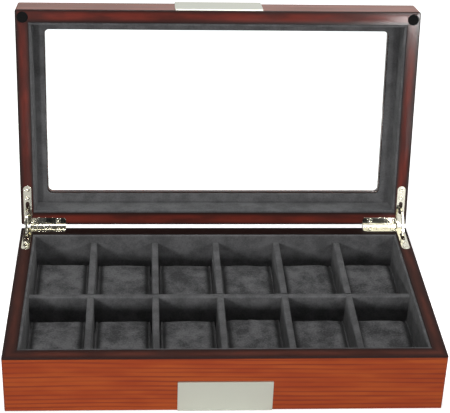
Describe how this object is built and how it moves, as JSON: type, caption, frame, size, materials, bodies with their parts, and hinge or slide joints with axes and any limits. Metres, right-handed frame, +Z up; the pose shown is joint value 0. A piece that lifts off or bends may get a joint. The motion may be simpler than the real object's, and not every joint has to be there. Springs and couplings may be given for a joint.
{
  "type": "watch display box",
  "caption": "Lined wooden display box with a hinged glass lid, stop stays, and a grid of compartments that each hold a lift-out watch cushion.",
  "frame": {"origin": "middle of the underside, where the felt under the base rests on the table", "axes": "+X to the right as seen from the front, +Y to the rear where the hinges are, +Z up"},
  "size_m": [0.34, 0.2569, 0.2419],
  "materials": {
    "stained_wood": "cherry-red stain with a satin clear lacquer over open straight grain, mating faces stained darker",
    "panel_board": "plain thin board",
    "felt": "pressed felt",
    "lining_suede": "short-napped suede cloth",
    "cushion_suede": "short-napped suede cloth over foam",
    "plate_metal": "satin, bare",
    "nickel": "bright nickel plate",
    "rubber": "matte",
    "glass": "clear flat glass"
  },
  "bodies": {
    "base": {"base_front_rail": "stained_wood", "base_rear_rail": "stained_wood", "base_left_rail": "stained_wood", "base_right_rail": "stained_wood", "bottom_panel": "panel_board", "bottom_felt": "felt", "floor_board": "lining_suede", "base_plate": "plate_metal", "base_lining_front": "lining_suede", "base_lining_rear": "lining_suede", "base_lining_left": "lining_suede", "base_lining_right": "lining_suede", "long_divider": "lining_suede", "cross_divider_1": "lining_suede", "cross_divider_2": "lining_suede", "cross_divider_3": "lining_suede", "cross_divider_4": "lining_suede", "cross_divider_5": "lining_suede", "hinge_base_leaf_left": "nickel", "hinge_base_leaf_right": "nickel", "hinge_pin_left": "nickel", "hinge_pin_right": "nickel", "hinge_screws_base": "nickel"},
    "lid": {"lid_front_rail": "stained_wood", "lid_rear_rail": "stained_wood", "lid_left_rail": "stained_wood", "lid_right_rail": "stained_wood", "lid_top_frame": "stained_wood", "glass_pane": "glass", "glass_retainer": "lining_suede", "lid_plate": "plate_metal", "lid_bumper_left": "rubber", "lid_bumper_right": "rubber", "lid_lining_front": "lining_suede", "lid_lining_rear": "lining_suede", "lid_lining_left": "lining_suede", "lid_lining_right": "lining_suede", "hinge_lid_leaf_left": "nickel", "hinge_lid_leaf_right": "nickel", "hinge_screws_lid": "nickel"},
    "stay_arm_left": {"stay_arm_left": "nickel"},
    "stay_arm_right": {"stay_arm_right": "nickel"},
    "cushion_rear_1": {"cushion_rear_1": "cushion_suede"},
    "cushion_rear_2": {"cushion_rear_2": "cushion_suede"},
    "cushion_rear_3": {"cushion_rear_3": "cushion_suede"},
    "cushion_rear_4": {"cushion_rear_4": "cushion_suede"},
    "cushion_rear_5": {"cushion_rear_5": "cushion_suede"},
    "cushion_rear_6": {"cushion_rear_6": "cushion_suede"},
    "cushion_front_1": {"cushion_front_1": "cushion_suede"},
    "cushion_front_2": {"cushion_front_2": "cushion_suede"},
    "cushion_front_3": {"cushion_front_3": "cushion_suede"},
    "cushion_front_4": {"cushion_front_4": "cushion_suede"},
    "cushion_front_5": {"cushion_front_5": "cushion_suede"},
    "cushion_front_6": {"cushion_front_6": "cushion_suede"}
  },
  "joints": [
    {"name": "lid_hinge", "type": "hinge", "parent": "base", "child": "lid", "pos_m": [0, 0.0968, 0.0515], "axis": [-1, 0, 0], "range_deg": [-100, 0]},
    {"name": "stay_arm_left_swing", "type": "hinge", "parent": "base", "child": "stay_arm_left", "pos_m": [0, 0.0968, 0.0515], "axis": [-1, 0, 0], "range_deg": [-50, 0]},
    {"name": "stay_arm_right_swing", "type": "hinge", "parent": "base", "child": "stay_arm_right", "pos_m": [0, 0.0968, 0.0515], "axis": [-1, 0, 0], "range_deg": [-50, 0]},
    {"name": "cushion_rear_1_lift", "type": "slide", "parent": "base", "child": "cushion_rear_1", "axis": [0, 0, 1], "range_m": [0, 0.045]},
    {"name": "cushion_rear_2_lift", "type": "slide", "parent": "base", "child": "cushion_rear_2", "axis": [0, 0, 1], "range_m": [0, 0.045]},
    {"name": "cushion_rear_3_lift", "type": "slide", "parent": "base", "child": "cushion_rear_3", "axis": [0, 0, 1], "range_m": [0, 0.045]},
    {"name": "cushion_rear_4_lift", "type": "slide", "parent": "base", "child": "cushion_rear_4", "axis": [0, 0, 1], "range_m": [0, 0.045]},
    {"name": "cushion_rear_5_lift", "type": "slide", "parent": "base", "child": "cushion_rear_5", "axis": [0, 0, 1], "range_m": [0, 0.045]},
    {"name": "cushion_rear_6_lift", "type": "slide", "parent": "base", "child": "cushion_rear_6", "axis": [0, 0, 1], "range_m": [0, 0.045]},
    {"name": "cushion_front_1_lift", "type": "slide", "parent": "base", "child": "cushion_front_1", "axis": [0, 0, 1], "range_m": [0, 0.045]},
    {"name": "cushion_front_2_lift", "type": "slide", "parent": "base", "child": "cushion_front_2", "axis": [0, 0, 1], "range_m": [0, 0.045]},
    {"name": "cushion_front_3_lift", "type": "slide", "parent": "base", "child": "cushion_front_3", "axis": [0, 0, 1], "range_m": [0, 0.045]},
    {"name": "cushion_front_4_lift", "type": "slide", "parent": "base", "child": "cushion_front_4", "axis": [0, 0, 1], "range_m": [0, 0.045]},
    {"name": "cushion_front_5_lift", "type": "slide", "parent": "base", "child": "cushion_front_5", "axis": [0, 0, 1], "range_m": [0, 0.045]},
    {"name": "cushion_front_6_lift", "type": "slide", "parent": "base", "child": "cushion_front_6", "axis": [0, 0, 1], "range_m": [0, 0.045]}
  ],
  "couplings": [
    {"joint": "stay_arm_left_swing", "follows": "lid_hinge", "ratio": 0.5},
    {"joint": "stay_arm_right_swing", "follows": "lid_hinge", "ratio": 0.5}
  ]
}
